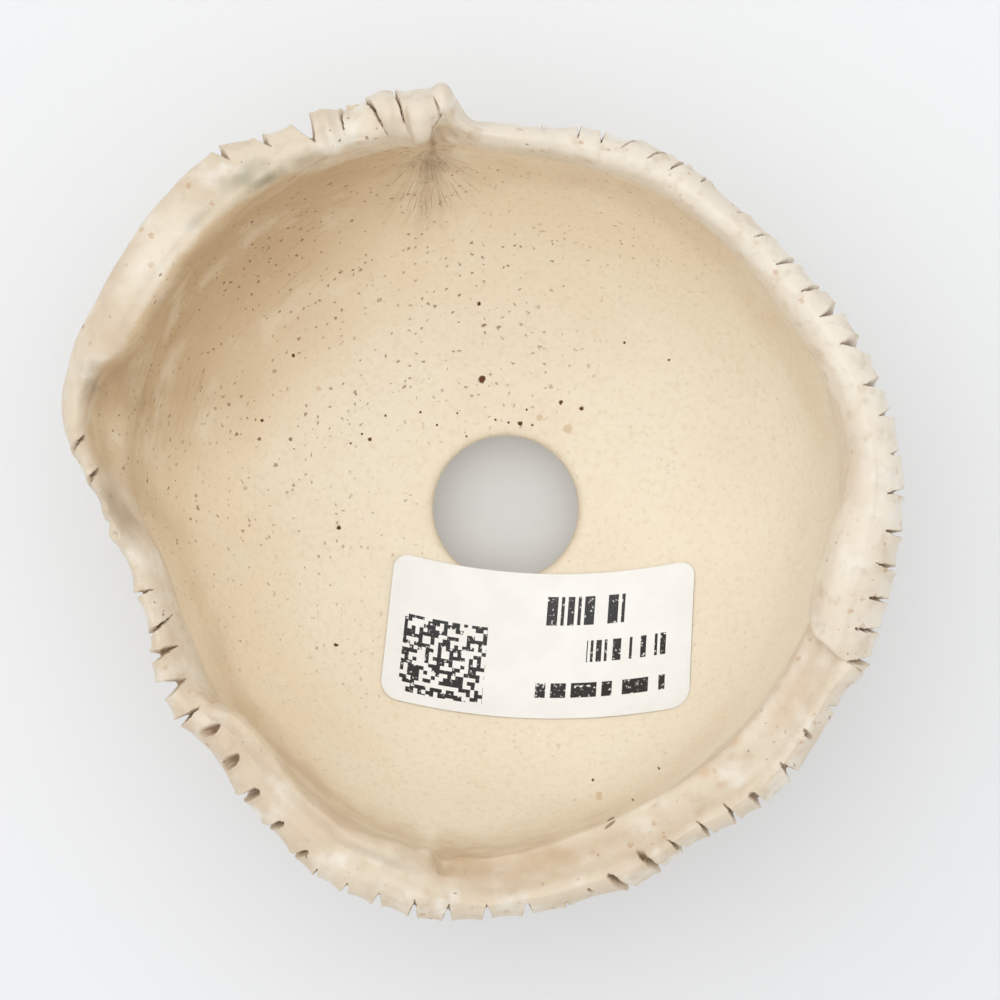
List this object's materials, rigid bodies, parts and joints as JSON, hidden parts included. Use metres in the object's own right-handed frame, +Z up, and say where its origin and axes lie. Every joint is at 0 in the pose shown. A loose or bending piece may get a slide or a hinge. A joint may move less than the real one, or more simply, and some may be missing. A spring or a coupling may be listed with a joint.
{
  "type": "bonsai pot",
  "caption": "Small hand-built ceramic bonsai pot: a round bowl on small feet with a drain hole and a torn, folded clay rim gathered into a knot, with a blank-marked paper sticker inside.",
  "frame": {"origin": "middle of the footprint's bounding box on the resting plane, under the feet", "axes": "+Z up, along the drain hole; -Y towards the front, where the sticker lies inside; +X right"},
  "size_m": [0.0863, 0.0854, 0.055],
  "materials": {
    "bare_clay": "bare fired cream stoneware with brown iron specks, matte",
    "wall_clay": "bare cream stoneware inside, thin satin off-white glaze with soft brown specks outside",
    "glazed_clay": "thin satin off-white glaze with soft brown specks over stoneware",
    "sticker_paper": null
  },
  "bodies": {
    "root": {"floor_slab": "bare_clay", "bowl_wall": "wall_clay", "foot_back": "bare_clay", "foot_left": "bare_clay", "foot_right": "bare_clay", "rim_back_left": "glazed_clay", "rim_left": "glazed_clay", "rim_front_left": "glazed_clay", "rim_front_right": "glazed_clay", "rim_right": "glazed_clay", "rim_back_right": "glazed_clay", "knot_ear": "glazed_clay", "knot_pad": "glazed_clay", "knot_pleat": "glazed_clay", "paper_label": "sticker_paper"}
  },
  "joints": []
}
